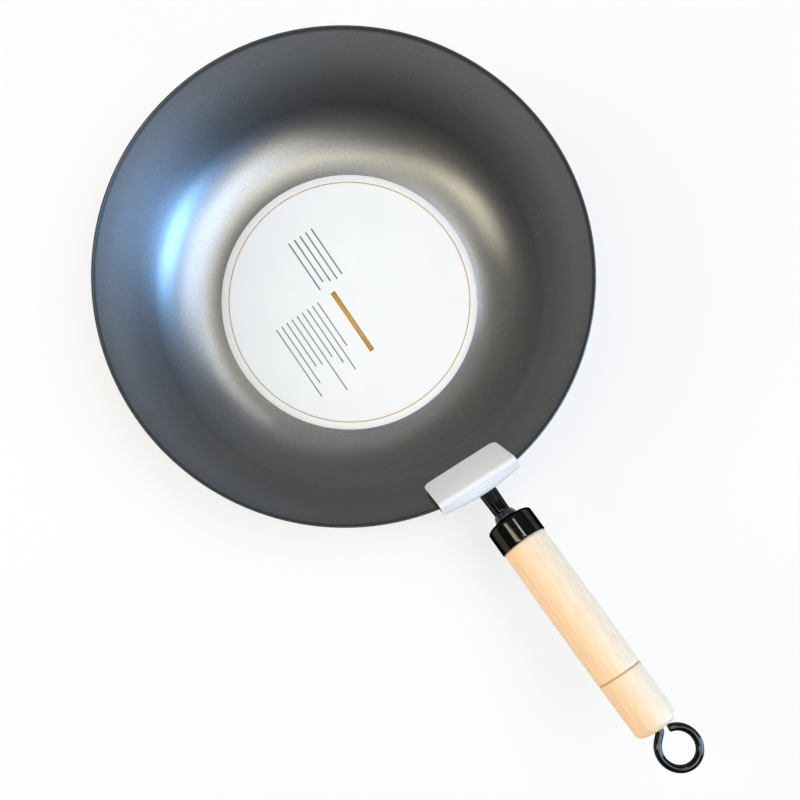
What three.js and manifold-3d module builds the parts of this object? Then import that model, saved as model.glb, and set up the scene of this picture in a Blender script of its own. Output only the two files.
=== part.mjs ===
// A 12 inch stir-fry pan as it comes apart on a bench: a spun steel bowl, a riveted bracket
// with a round neck, a wooden grip that a rod with a hanging eye draws up against the neck,
// a moulded clip over the rim at the handle, and a loose card disc on the floor of the bowl.
// Millimetres, +Z up. The origin is the centre of the underside, and the handle points along +X.

import * as THREE from 'three';
import { mergeVertices } from 'three/addons/utils/BufferGeometryUtils.js';
import Module from 'manifold-3d';

const wasm = await Module();
wasm.setup();

// Bowl
const rimRadius = 152.5;
const bowlHeight = 66;
const wallThickness = 1.6;
const floorRadius = 87;
const cornerSlope = THREE.MathUtils.degToRad(52);
const rimSlope = THREE.MathUtils.degToRad(75);

// Card disc
const cardRadius = 87;
const cardThickness = 0.6;

// Bracket: a saddle that lies on the outside of the wall, and the neck that leaves it
const saddleThickness = 2;
const saddleTopDrop = 10.5;
const saddleTopWidth = 46;
const saddleFootWidth = 26;
const saddleTail = 16.5;
const saddleCorner = 6;
const neckDrop = 30;
const neckRise = THREE.MathUtils.degToRad(13.5);
const neckLength = 33.3;
const neckRootHalfWidth = 10;
const neckRootHalfHeight = 7;
const neckWaistHalfWidth = 6;
const neckWaistHalfHeight = 4.9;
const neckEndRadius = 5.4;
const neckFlareLength = 17;

// Rivets that hold the saddle to the wall
const rivetCount = 3;
const rivetSpacing = 11;
const rivetDrop = 15.2;
const rivetRadius = 2.5;
const rivetHeadRadius = 4.4;
const rivetHeadHeight = 1.1;
const rivetTailRadius = 3.8;
const rivetTailHeight = 1.5;
const rivetTailFlatRadius = 3.2;

// Rim guard
const guardWidth = 54.4;
const guardFootWidth = 54;
const guardDrop = 34.4;
const guardCorner = 5;
const guardWall = 1.4;
const guardPocketDepth = 2.6;
const guardFold = 1.3;
const guardTurn = THREE.MathUtils.degToRad(-1.9);
const skirtDrop = 9;
const skirtThickness = 2.8;

// Collar, ferrule and ferrule pin
const collarLength = 4.5;
const collarBand = 1.4;
const collarNeckRadius = 6.3;
const collarSeatRadius = 7.6;
const ferruleLength = 18.3;
const ferruleRadius = 15.6;
const ferruleWall = 1;
const ferruleFlatRadius = 8.4;
const ferruleShoulder = 3.3;
const pinRadius = 1.2;
const pinLength = 7;
const pinInset = 2.6;

// Grip
const gripLength = 133.1;
const gripFrontRadius = 14.8;
const gripButtRadius = 13.9;
const gripSwell = 0.5;
const gripButtRound = 4;
const gripFrontRound = 1;
const grooveFromButt = 37.2;
const grooveDepth = 0.7;
const grooveWidth = 1.4;

// Rod and hanging eye
const rodRadius = 2.4;
const rodEngagement = 16;
const eyeRadius = 11.9;
const eyeLean = THREE.MathUtils.degToRad(48);
const eyeBend = 3.2;
const eyeLeg = 5.5;
const eyeLead = 0.3;
const eyeEndGap = 2.2;

// Clearances: between seated pieces, and round the shanks of the rod, the rivets and the pin
const seatGap = 0.3;
const boreGap = 0.3;

// How finely round forms are divided
const bowlSegments = 80;
const turnedSegments = 36;
const smallSegments = 20;

// Finishes
const nonstick = { color: 0x3b3c40, roughness: 0.42, metalness: 0.6 };
const blackEnamel = { color: 0x0c0c0e, roughness: 0.15, metalness: 0.3 };
const bareSteel = { color: 0x8f9194, roughness: 0.35, metalness: 1 };
const whitePlastic = { color: 0xe6e9ee, roughness: 0.45, metalness: 0 };
const paleWood = { color: 0xe6c596, roughness: 0.5, metalness: 0 };
const whiteCard = { color: 0xf6f6f4, roughness: 0.7, metalness: 0 };

// The section's direction up a slope, and its direction out of the bowl, square to that slope
function slopeUp(slope) {
  return new THREE.Vector2(Math.cos(slope), Math.sin(slope));
}

function slopeOut(slope) {
  return new THREE.Vector2(Math.sin(slope), -Math.cos(slope));
}

// The bowl in section: a mid-line that leaves the flat floor in a corner arc and goes on in a wider arc
// to the rim's round edge. The two radii follow from the slopes at which the arcs end.
const halfWall = wallThickness / 2;
const rimCentre = new THREE.Vector2(rimRadius - halfWall, bowlHeight - halfWall);
const sectionRun = rimCentre.x - floorRadius;
const sectionRise = rimCentre.y - halfWall;
const cornerRun = Math.sin(cornerSlope);
const cornerRise = 1 - Math.cos(cornerSlope);
const wallRun = Math.sin(rimSlope) - Math.sin(cornerSlope);
const wallRise = Math.cos(cornerSlope) - Math.cos(rimSlope);
const runsAndRises = cornerRun * wallRise - wallRun * cornerRise;
const cornerRadius = (sectionRun * wallRise - wallRun * sectionRise) / runsAndRises;
const wallRadius = (cornerRun * sectionRise - sectionRun * cornerRise) / runsAndRises;
const wallLength = wallRadius * (rimSlope - cornerSlope);
const cornerCentre = new THREE.Vector2(floorRadius, halfWall + cornerRadius);
const wallCentre = rimCentre.clone().addScaledVector(slopeOut(rimSlope), -wallRadius);

// A point of the section, so far down the wall from the rim's centre and so far out from the mid-line
function wallPoint(drop, out) {
  return wallCentre.clone().addScaledVector(slopeOut(rimSlope - drop / wallRadius), wallRadius + out);
}

// A row of such points from one drop to another, at one distance out
function wallPoints(from, to, out) {
  const steps = 6;
  const points = [];
  for (let i = 0; i <= steps; i++) points.push(wallPoint(from + (to - from) * i / steps, out));
  return points;
}

// The guard's plate is flat, so it lies along the chord from the rim to its own foot
const plateSlope = rimSlope - guardDrop / (2 * wallRadius);

function platePoint(drop, out) {
  return rimCentre.clone()
    .addScaledVector(slopeUp(plateSlope), -drop)
    .addScaledVector(slopeOut(plateSlope), out);
}

function arcPoints(centre, radius, from, to, steps) {
  const points = [];
  for (let i = 0; i <= steps; i++) {
    const angle = from + (to - from) * i / steps;
    points.push(new THREE.Vector2(centre.x + radius * Math.cos(angle), centre.y + radius * Math.sin(angle)));
  }
  return points;
}

function at(x, y) {
  return new THREE.Vector2(x, y);
}

// A solid turned about Z from a section that starts and ends on the axis
function turned(points, segments) {
  return new THREE.LatheGeometry(points, segments).rotateX(Math.PI / 2);
}

// A ring turned about Z from a closed section that stays off the axis
function turnedRing(points, segments) {
  return turned([...points, points[0].clone()], segments);
}

// A solid through a row of rings of equal count, closed by a fan at each end
function loft(rings) {
  const count = rings[0].length;
  const positions = rings.flat().flatMap((point) => point.toArray());
  const index = [];
  for (let r = 0; r + 1 < rings.length; r++) {
    for (let i = 0; i < count; i++) {
      const a = r * count + i;
      const b = r * count + (i + 1) % count;
      index.push(a, b, b + count);
      index.push(a, b + count, a + count);
    }
  }
  const last = (rings.length - 1) * count;
  for (let i = 1; i + 1 < count; i++) {
    index.push(0, i + 1, i);
    index.push(last, last + i, last + i + 1);
  }
  const geometry = new THREE.BufferGeometry();
  geometry.setAttribute('position', new THREE.Float32BufferAttribute(positions, 3));
  geometry.setIndex(index);
  return geometry;
}

// A closed geometry as a solid that can be joined and cut
function solid(geometry, matrix = new THREE.Matrix4()) {
  const plain = geometry.clone().applyMatrix4(matrix);
  plain.deleteAttribute('normal');
  plain.deleteAttribute('uv');
  const merged = mergeVertices(plain, 1e-4);
  const triangles = [];
  for (let i = 0; i < merged.index.count; i += 3) {
    const [a, b, c] = [0, 1, 2].map((k) => merged.index.getX(i + k));
    if (a !== b && b !== c && c !== a) triangles.push(a, b, c);
  }
  return new wasm.Manifold(new wasm.Mesh({
    numProp: 3,
    vertProperties: new Float32Array(merged.attributes.position.array),
    triVerts: new Uint32Array(triangles),
  }));
}

function geometryOf(body) {
  const mesh = body.getMesh();
  const geometry = new THREE.BufferGeometry();
  geometry.setAttribute('position', new THREE.BufferAttribute(new Float32Array(mesh.vertProperties), 3));
  geometry.setIndex(new THREE.BufferAttribute(new Uint32Array(mesh.triVerts), 1));
  geometry.computeVertexNormals();
  return geometry;
}

function piece(name, geometry, finish) {
  const mesh = new THREE.Mesh(geometry, new THREE.MeshStandardMaterial(finish));
  mesh.name = name;
  return mesh;
}

// Directions of the wall at the handle, and the frames that profiles and outlines are drawn in there
const sideways = new THREE.Vector3(0, 1, 0);
const downWall = new THREE.Vector3(-Math.cos(plateSlope), 0, -Math.sin(plateSlope));
const outWall = new THREE.Vector3(Math.sin(plateSlope), 0, -Math.cos(plateSlope));
const rimAtHandle = new THREE.Vector3(rimCentre.x, 0, rimCentre.y);

// Drawn with x down the wall and y outwards, then drawn out across the handle
const profileFrame = new THREE.Matrix4()
  .makeBasis(downWall, outWall, sideways.clone().negate())
  .setPosition(rimAtHandle);

// Drawn with x across the handle and y down the wall, then drawn out square to the wall
const outlineFrame = new THREE.Matrix4()
  .makeBasis(sideways, downWall, outWall.clone().negate())
  .setPosition(rimAtHandle);

// A shape drawn in one of those frames, as a prism centred on it and turned round the bowl
function prism(shape, frame, depth, turn) {
  const geometry = new THREE.ExtrudeGeometry(shape, { depth, bevelEnabled: false, curveSegments: 6 });
  return solid(geometry.translate(0, 0, -depth / 2), new THREE.Matrix4().makeRotationZ(turn).multiply(frame));
}

// The handle's own frame: its axis is local Z, and local -X points up. It starts on the wall's outside.
const rootPoint = wallPoint(neckDrop, halfWall);
const handleFrame = new THREE.Matrix4()
  .makeRotationY(Math.PI / 2 - neckRise)
  .setPosition(rootPoint.x, 0, rootPoint.y);

// Stations along the handle's axis
const collarStart = neckLength + seatGap;
const ferruleStart = collarStart + collarLength + seatGap;
const gripStart = ferruleStart + ferruleLength + seatGap;
const buttStation = gripStart + gripLength;
const rodStart = neckLength - rodEngagement + seatGap;
const boreRadius = rodRadius + boreGap;

// Rivet places, as an angle round the bowl
const rivetPlaceRadius = wallPoint(rivetDrop, 0).x;
const rivetAngles = [];
for (let i = 0; i < rivetCount; i++) {
  rivetAngles.push(Math.asin((i - (rivetCount - 1) / 2) * rivetSpacing / rivetPlaceRadius));
}

// Local Z of a rivet points out of the bowl, square to the wall, with its zero on the wall's mid-line
function rivetMatrix(angle) {
  const place = wallPoint(rivetDrop, 0);
  const slope = rimSlope - rivetDrop / wallRadius;
  const tilt = new THREE.Matrix4().makeRotationY(Math.PI - slope).setPosition(place.x, 0, place.y);
  return new THREE.Matrix4().makeRotationZ(angle).multiply(tilt);
}

const rivetReach = 4 * (wallThickness + saddleThickness);
const rivetHole = new THREE.CylinderGeometry(rivetRadius + boreGap, rivetRadius + boreGap, rivetReach, smallSegments)
  .rotateX(Math.PI / 2);

function drillRivets(body) {
  return rivetAngles.reduce((left, angle) => left.subtract(solid(rivetHole, rivetMatrix(angle))), body);
}

// The channel that the guard slides on the wall in. It follows the wall's curve outside. Inside it is
// straight, so that the plate meets the wall at the rim and at its foot, and bridges the hollow between.
function wallChannel(gap) {
  const thick = halfWall + gap;
  const low = guardDrop + guardCorner;
  const edge = arcPoints(rimCentre, thick, rimSlope - Math.PI / 2, plateSlope + Math.PI / 2, 6);
  const outside = wallPoints(low, 0, thick).slice(0, -1);
  return solid(turnedRing([...outside, ...edge, platePoint(low, -thick)], bowlSegments));
}

function makeBowl() {
  const cornerTurn = cornerSlope - Math.PI / 2;
  const rimTurn = rimSlope - Math.PI / 2;
  const section = [
    at(0, 0),
    ...arcPoints(cornerCentre, cornerRadius + halfWall, -Math.PI / 2, cornerTurn, 8),
    ...wallPoints(wallLength, 0, halfWall).slice(1, -1),
    ...arcPoints(rimCentre, halfWall, rimTurn, rimTurn + Math.PI, 4),
    ...wallPoints(0, wallLength, -halfWall).slice(1, -1),
    ...arcPoints(cornerCentre, cornerRadius - halfWall, cornerTurn, -Math.PI / 2, 8),
    at(0, wallThickness),
  ];
  const bowl = solid(turned(section, bowlSegments));
  return piece('pan_body', geometryOf(drillRivets(bowl)), nonstick);
}

// The card is a little wider than the flat floor, so its edge rests on the first rise of the corner
function makeCard() {
  const section = [at(0, 0), at(cardRadius, 0), at(cardRadius, cardThickness), at(0, cardThickness)];
  const card = piece('card_insert', turned(section, bowlSegments), whiteCard);
  const overhang = Math.max(0, cardRadius - floorRadius);
  const insideRadius = cornerRadius - halfWall;
  const edgeRise = insideRadius - Math.sqrt(insideRadius ** 2 - overhang ** 2);
  card.position.z = wallThickness + edgeRise + seatGap;
  return card;
}

// A shield that is wide under the rim and narrows to a round tail below the neck
function saddleOutline() {
  const top = saddleTopWidth / 2;
  const foot = saddleFootWidth / 2;
  const tailDrop = neckDrop + saddleTail;
  const outline = new THREE.Shape();
  outline.moveTo(-top + saddleCorner, saddleTopDrop);
  outline.lineTo(top - saddleCorner, saddleTopDrop);
  outline.quadraticCurveTo(top, saddleTopDrop, top, saddleTopDrop + saddleCorner);
  outline.bezierCurveTo(top, neckDrop, foot, neckDrop, foot, tailDrop - foot);
  outline.absarc(0, tailDrop - foot, foot, 0, Math.PI, false);
  outline.bezierCurveTo(-foot, neckDrop, -top, neckDrop, -top, saddleTopDrop + saddleCorner);
  outline.quadraticCurveTo(-top, saddleTopDrop, -top + saddleCorner, saddleTopDrop);
  return outline;
}

// Sections of the neck: a flared oval root that draws in to a flat waist and ends round
function neckRings() {
  const buried = -neckRootHalfHeight;
  const stations = [buried];
  const flareSteps = 6;
  for (let i = 0; i <= flareSteps; i++) stations.push(neckFlareLength * i / flareSteps);
  const straightSteps = 3;
  for (let i = 1; i <= straightSteps; i++) {
    stations.push(neckFlareLength + (neckLength - neckFlareLength) * i / straightSteps);
  }
  return stations.map((station) => {
    const flare = Math.max(0, 1 - Math.max(0, station) / neckFlareLength) ** 2;
    const run = Math.max(0, (station - neckFlareLength) / (neckLength - neckFlareLength));
    const waistWidth = neckWaistHalfWidth + (neckEndRadius - neckWaistHalfWidth) * run;
    const waistHeight = neckWaistHalfHeight + (neckEndRadius - neckWaistHalfHeight) * run;
    const halfWidth = waistWidth + (neckRootHalfWidth - neckWaistHalfWidth) * flare;
    const halfHeight = waistHeight + (neckRootHalfHeight - neckWaistHalfHeight) * flare;
    const ring = [];
    for (let i = 0; i < turnedSegments; i++) {
      const angle = 2 * Math.PI * i / turnedSegments;
      ring.push(new THREE.Vector3(halfHeight * Math.cos(angle), halfWidth * Math.sin(angle), station));
    }
    return ring;
  });
}

function makeBracket() {
  const near = halfWall + seatGap;
  const far = near + saddleThickness;
  const tailDrop = neckDrop + saddleTail;
  const low = tailDrop + saddleThickness;
  const high = saddleTopDrop - saddleThickness;
  const shell = turnedRing([...wallPoints(high, low, near), ...wallPoints(low, high, far)], bowlSegments);
  const saddle = solid(shell).intersect(prism(saddleOutline(), outlineFrame, 2 * floorRadius, 0));
  const bore = new THREE.CylinderGeometry(boreRadius, boreRadius, rodEngagement * 2, smallSegments)
    .rotateX(Math.PI / 2)
    .translate(0, 0, neckLength);
  const inside = solid(turned([
    at(0, wallPoint(low, near).y),
    ...wallPoints(low, high, near),
    at(0, wallPoint(high, near).y),
  ], bowlSegments));
  const neck = solid(loft(neckRings()), handleFrame).subtract(inside);
  const body = drillRivets(saddle.add(neck)).subtract(solid(bore, handleFrame));
  return piece('handle_bracket', geometryOf(body), blackEnamel);
}

// A low domed head inside the bowl, a shank through wall and saddle, and a flattened tail outside
function makeRivet(name, angle) {
  const headSeat = -halfWall - seatGap;
  const tailSeat = halfWall + seatGap + saddleThickness + seatGap;
  const domeSteps = 4;
  const section = [];
  for (let i = 0; i <= domeSteps; i++) {
    const lift = Math.PI / 2 * i / domeSteps;
    section.push(at(rivetHeadRadius * Math.sin(lift), headSeat - rivetHeadHeight * Math.cos(lift)));
  }
  section.push(at(rivetRadius, headSeat));
  section.push(at(rivetRadius, tailSeat));
  section.push(at(rivetTailRadius, tailSeat));
  section.push(at(rivetTailFlatRadius, tailSeat + rivetTailHeight));
  section.push(at(0, tailSeat + rivetTailHeight));
  const rivet = piece(name, turned(section, smallSegments), bareSteel);
  rivet.applyMatrix4(rivetMatrix(angle));
  return rivet;
}

// A flat plate inside the rim, folded over the edge, with a short skirt that follows the wall outside.
// The plate spans the curve of the wall as a chord, and the rivet heads lie in the space behind it.
function makeGuard() {
  const front = halfWall + guardPocketDepth + guardWall;
  const crown = halfWall + seatGap + guardWall;
  const skirtOut = halfWall + seatGap + skirtThickness;
  const beyond = 2 * skirtOut;

  const profile = new THREE.Shape();
  profile.moveTo(guardDrop, -front);
  profile.lineTo(guardDrop, beyond);
  profile.lineTo(-crown, beyond);
  profile.lineTo(-crown, -front + guardFold);
  profile.quadraticCurveTo(-crown, -front, -crown + guardFold, -front);
  profile.closePath();

  const half = guardWidth / 2;
  const foot = guardFootWidth / 2;
  const outline = new THREE.Shape();
  outline.moveTo(-half, -2 * crown);
  outline.lineTo(half, -2 * crown);
  outline.lineTo(half, 0);
  outline.lineTo(foot, guardDrop - guardCorner);
  outline.quadraticCurveTo(foot, guardDrop, foot - guardCorner, guardDrop);
  outline.lineTo(-foot + guardCorner, guardDrop);
  outline.quadraticCurveTo(-foot, guardDrop, -foot, guardDrop - guardCorner);
  outline.lineTo(-half, 0);
  outline.closePath();

  const roundOver = skirtThickness;
  const shoulderCentre = platePoint(roundOver - crown, skirtOut - roundOver);
  const envelope = turnedRing([
    platePoint(2 * guardDrop, -floorRadius / 2),
    platePoint(2 * guardDrop, 0),
    platePoint(skirtDrop, 0),
    platePoint(skirtDrop, skirtOut),
    ...arcPoints(shoulderCentre, roundOver, plateSlope - Math.PI / 2, plateSlope, 5),
    platePoint(-crown, -floorRadius / 2),
  ], bowlSegments);

  const pocket = new THREE.Shape();
  pocket.moveTo(halfWall, -halfWall - guardPocketDepth);
  pocket.lineTo(2 * guardDrop, -halfWall - guardPocketDepth);
  pocket.lineTo(2 * guardDrop, 0);
  pocket.lineTo(halfWall, 0);
  pocket.closePath();

  const body = prism(profile, profileFrame, 2 * guardWidth, guardTurn)
    .intersect(prism(outline, outlineFrame, 2 * floorRadius, guardTurn))
    .intersect(solid(envelope))
    .subtract(wallChannel(seatGap))
    .subtract(prism(pocket, profileFrame, guardFootWidth - 2 * guardWall, guardTurn));
  return piece('rim_guard', geometryOf(body), whitePlastic);
}

function makeCollar() {
  const section = [
    at(boreRadius, 0),
    at(collarNeckRadius, 0),
    at(collarSeatRadius, collarLength - collarBand),
    at(collarSeatRadius, collarLength),
    at(boreRadius, collarLength),
  ];
  const collar = piece('neck_collar', turnedRing(section, turnedSegments), bareSteel);
  collar.position.z = collarStart;
  return collar;
}

// The ferrule's domed front, drawn in by a wall or a clearance
function domePoints(inset) {
  const steps = 6;
  const points = [];
  for (let i = 0; i <= steps; i++) {
    const angle = Math.PI / 2 * i / steps;
    const radius = ferruleFlatRadius + (ferruleRadius - ferruleFlatRadius) * Math.sin(angle);
    points.push(at(radius - inset, ferruleShoulder * (1 - Math.cos(angle)) + inset));
  }
  return points;
}

// Across the handle's axis, from the top of the ferrule down into the grip
function pinHole() {
  const radius = pinRadius + boreGap;
  return new THREE.CylinderGeometry(radius, radius, 2 * pinLength, smallSegments)
    .rotateZ(Math.PI / 2)
    .translate(-ferruleRadius, 0, ferruleStart + ferruleLength - pinInset);
}

function makeFerrule() {
  const section = [
    at(boreRadius, 0),
    ...domePoints(0),
    at(ferruleRadius, ferruleLength),
    at(ferruleRadius - ferruleWall, ferruleLength),
    ...domePoints(ferruleWall).reverse(),
    at(boreRadius, ferruleWall),
  ];
  const shell = turnedRing(section, turnedSegments).translate(0, 0, ferruleStart);
  return piece('ferrule', geometryOf(solid(shell).subtract(solid(pinHole()))), blackEnamel);
}

function makePin() {
  const geometry = new THREE.CylinderGeometry(pinRadius, pinRadius, pinLength - boreGap, smallSegments)
    .rotateZ(Math.PI / 2)
    .translate(-ferruleRadius + pinLength / 2, 0, ferruleStart + ferruleLength - pinInset);
  return piece('ferrule_pin', geometry, bareSteel);
}

// The grip tapers to its butt with a slight swell, so its radius is a straight line and half a sine wave
function gripRadius(share) {
  return gripFrontRadius + (gripButtRadius - gripFrontRadius) * share + gripSwell * Math.sin(Math.PI * share);
}

function makeGrip() {
  const section = [at(boreRadius, ferruleStart + ferruleWall + seatGap)];
  for (const point of domePoints(ferruleWall + seatGap)) section.push(at(point.x, ferruleStart + point.y));
  section.push(at(ferruleRadius - ferruleWall - seatGap, gripStart));
  section.push(at(gripRadius(0) - gripFrontRound, gripStart));
  section.push(at(gripRadius(0), gripStart + gripFrontRound));

  const groove = buttStation - grooveFromButt;
  const shareAt = (station) => (station - gripStart) / gripLength;
  const grooveEdges = [groove - grooveWidth / 2, groove + grooveWidth / 2];
  const frontSteps = 7;
  for (let i = 1; i <= frontSteps; i++) {
    const station = gripStart + (grooveEdges[0] - gripStart) * i / frontSteps;
    section.push(at(gripRadius(shareAt(station)), station));
  }
  section.push(at(gripRadius(shareAt(groove)) - grooveDepth, groove));
  section.push(at(gripRadius(shareAt(grooveEdges[1])), grooveEdges[1]));
  const roundStart = buttStation - gripButtRound;
  const midway = (grooveEdges[1] + roundStart) / 2;
  section.push(at(gripRadius(shareAt(midway)), midway));
  const roundCentre = at(gripRadius(shareAt(roundStart)) - gripButtRound, roundStart);
  section.push(...arcPoints(roundCentre, gripButtRound, 0, Math.PI / 2, 5));
  section.push(at(boreRadius, buttStation));

  const body = solid(turnedRing(section, turnedSegments)).subtract(solid(pinHole()));
  return piece('grip', geometryOf(body), paleWood);
}

// The rod's middle line in the plane of the eye: straight through the grip, a sharp bend to one side as it
// leaves the butt, a short straight leg, then most of the way round the eye to a cut end beside the leg.
function rodRings() {
  const leave = buttStation + eyeLead;
  const bendEnd = at(-eyeBend * (1 - Math.cos(eyeLean)), leave + eyeBend * Math.sin(eyeLean));
  const legEnd = at(bendEnd.x - eyeLeg * Math.sin(eyeLean), bendEnd.y + eyeLeg * Math.cos(eyeLean));
  const eyeCentre = at(legEnd.x + eyeRadius * Math.cos(eyeLean), legEnd.y + eyeRadius * Math.sin(eyeLean));
  const endSide = rodRadius + eyeEndGap;
  const startTurn = -Math.PI / 2 - eyeLean;
  const endTurn = Math.PI - Math.asin((endSide - eyeCentre.x) / eyeRadius);
  const stops = [
    { side: 0, along: rodStart, heading: 0 },
    { side: 0, along: leave, heading: 0 },
  ];
  const bendSteps = 6;
  for (let i = 1; i <= bendSteps; i++) {
    const angle = eyeLean * i / bendSteps;
    stops.push({
      side: -eyeBend * (1 - Math.cos(angle)),
      along: leave + eyeBend * Math.sin(angle),
      heading: -angle,
    });
  }
  const eyeSteps = 36;
  for (let i = 0; i <= eyeSteps; i++) {
    const turn = startTurn + (endTurn - startTurn) * i / eyeSteps;
    stops.push({
      side: eyeCentre.x + eyeRadius * Math.sin(turn),
      along: eyeCentre.y + eyeRadius * Math.cos(turn),
      heading: turn + Math.PI / 2,
    });
  }
  const wireSides = 12;
  return stops.map(({ side, along, heading }) => {
    const ring = [];
    for (let i = 0; i < wireSides; i++) {
      const angle = 2 * Math.PI * i / wireSides;
      const across = rodRadius * Math.sin(angle);
      ring.push(new THREE.Vector3(
        rodRadius * Math.cos(angle),
        side + across * Math.cos(heading),
        along - across * Math.sin(heading),
      ));
    }
    return ring;
  });
}

function makeRod() {
  return piece('hanging_rod', loft(rodRings()), blackEnamel);
}

const pan = new THREE.Group();
pan.name = 'stir_fry_pan';
pan.add(makeBowl(), makeCard(), makeBracket(), makeGuard());
rivetAngles.forEach((angle, i) => pan.add(makeRivet(`rivet_${i + 1}`, angle)));

const handle = new THREE.Group();
handle.applyMatrix4(handleFrame);
handle.add(makeCollar(), makeFerrule(), makePin(), makeGrip(), makeRod());
pan.add(handle);

export default pan;
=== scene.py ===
import math
import bmesh
import bpy
from mathutils import Matrix, Vector


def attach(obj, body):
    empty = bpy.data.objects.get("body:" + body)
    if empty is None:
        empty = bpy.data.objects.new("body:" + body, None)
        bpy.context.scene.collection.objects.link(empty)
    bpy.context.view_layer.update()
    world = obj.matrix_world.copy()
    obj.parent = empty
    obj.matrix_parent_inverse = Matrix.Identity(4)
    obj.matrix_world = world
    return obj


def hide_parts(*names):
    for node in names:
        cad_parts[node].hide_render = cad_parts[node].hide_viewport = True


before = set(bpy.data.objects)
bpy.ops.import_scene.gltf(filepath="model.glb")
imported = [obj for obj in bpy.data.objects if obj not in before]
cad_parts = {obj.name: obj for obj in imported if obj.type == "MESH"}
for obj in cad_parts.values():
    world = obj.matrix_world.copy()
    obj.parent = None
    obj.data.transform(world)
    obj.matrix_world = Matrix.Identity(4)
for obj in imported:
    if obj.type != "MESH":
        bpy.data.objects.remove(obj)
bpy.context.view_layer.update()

# Bowl: one sheet of steel spun over a former into a flat floor, a wide round corner and a wall that goes on
# curving gently up to the rim. The nonstick coating is sprayed on and baked: a satin grey with fine metal
# flake in it, drier up the wall, over faint spinning rings. Its grey is painted lighter on the floor and
# low wall as a painted highlight, and darker half-way up and on the rim's edge as painted shade.
rim_radius = 0.1525
bowl_height = 0.066
wall_thickness = 0.0016
floor_radius = 0.087
corner_slope = math.radians(52)
rim_slope = math.radians(75)
bowl_segments = 240
bowl_facet = 0.004
corner_steps = 28
wall_steps = 16
edge_steps = 8

# The section is a corner arc and a wider wall arc. Their radii follow from the slopes at which they end.
half_wall = wall_thickness / 2
rim_centre = Vector((rim_radius - half_wall, bowl_height - half_wall))
section_run = rim_centre.x - floor_radius
section_rise = rim_centre.y - half_wall
corner_run = math.sin(corner_slope)
corner_rise = 1 - math.cos(corner_slope)
wall_run = math.sin(rim_slope) - math.sin(corner_slope)
wall_rise = math.cos(corner_slope) - math.cos(rim_slope)
runs_and_rises = corner_run * wall_rise - wall_run * corner_rise
corner_radius = (section_run * wall_rise - wall_run * section_rise) / runs_and_rises
wall_radius = (corner_run * section_rise - section_run * corner_rise) / runs_and_rises
corner_centre = Vector((floor_radius, half_wall + corner_radius))


def slope_out(slope):
    return Vector((math.sin(slope), -math.cos(slope)))


wall_centre = rim_centre - wall_radius * slope_out(rim_slope)


# A point of the wall's section: so far down from the rim's centre, so far out from the middle of the sheet.
def wall_point(drop, out):
    return wall_centre + (wall_radius + out) * slope_out(rim_slope - drop / wall_radius)


def arc_points(centre, radius, start, end, steps):
    points = []
    for step in range(steps + 1):
        angle = start + (end - start) * step / steps
        points.append(centre + radius * Vector((math.cos(angle), math.sin(angle))))
    return points


# Long straight runs of a section are divided, so that the shading near its round edges stays even.
def divided(points, longest):
    out = [points[0]]
    for before, after in zip(points, points[1:]):
        parts = max(1, math.ceil((after - before).length / longest))
        for part in range(1, parts + 1):
            out.append(before.lerp(after, part / parts))
    return out


def add_node(tree, kind, inputs=None, **settings):
    made = tree.nodes.new(kind)
    for name, value in settings.items():
        setattr(made, name, value)
    for name, value in (inputs or {}).items():
        if isinstance(value, bpy.types.NodeSocket):
            tree.links.new(value, made.inputs[name])
        else:
            made.inputs[name].default_value = value
    return made


def worked_out(tree, operation, *values):
    return add_node(tree, "ShaderNodeMath", dict(enumerate(values)), operation=operation).outputs[0]


def shape_tree(name, inputs):
    tree = bpy.data.node_groups.new(name, "GeometryNodeTree")
    tree.interface.new_socket("Guide", in_out="INPUT", socket_type="NodeSocketGeometry")
    for label, kind in inputs.items():
        tree.interface.new_socket(label, in_out="INPUT", socket_type=kind)
    tree.interface.new_socket("Finish", in_out="INPUT", socket_type="NodeSocketMaterial")
    tree.interface.new_socket("Shape", in_out="OUTPUT", socket_type="NodeSocketGeometry")
    return tree, add_node(tree, "NodeGroupInput").outputs


def end_tree(tree, shape, finish):
    real = add_node(tree, "GeometryNodeRealizeInstances", {"Geometry": shape})
    smooth = add_node(tree, "GeometryNodeSetShadeSmooth", {"Geometry": real.outputs[0]})
    dressed = add_node(tree, "GeometryNodeSetMaterial", {"Geometry": smooth.outputs[0], "Material": finish})
    add_node(tree, "NodeGroupOutput", {0: dressed.outputs[0]})


def placed_object(name, mesh):
    piece = bpy.data.objects.new(name, mesh)
    bpy.context.scene.collection.objects.link(piece)
    return piece


same_point = 1e-7
seam_width = 1e-6


# Normals are recalculated after doubles are merged, because each of these shapes is a closed solid.
def face_outwards(mesh):
    form = bmesh.new()
    form.from_mesh(mesh)
    bmesh.ops.remove_doubles(form, verts=form.verts, dist=same_point)
    bmesh.ops.recalc_face_normals(form, faces=form.faces)
    for face in form.faces:
        face.smooth = True
    form.to_mesh(mesh)
    form.free()


# The result of a tree on a guide mesh, as a plain mesh object.
def grown(name, guide, tree, values):
    carrier = placed_object(name + "_guide", guide)
    modifier = carrier.modifiers.new("shape", "NODES")
    modifier.node_group = tree
    for item in tree.interface.items_tree:
        if item.item_type == "SOCKET" and item.in_out == "INPUT" and item.name in values:
            modifier[item.identifier] = values[item.name]
    graph = bpy.context.evaluated_depsgraph_get()
    mesh = bpy.data.meshes.new_from_object(carrier.evaluated_get(graph))
    bpy.data.objects.remove(carrier)
    mesh.name = name
    face_outwards(mesh)
    return placed_object(name, mesh)


def line_mesh(name, points):
    mesh = bpy.data.meshes.new(name)
    mesh.from_pydata([tuple(point) for point in points], [(i, i + 1) for i in range(len(points) - 1)], [])
    return mesh


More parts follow.
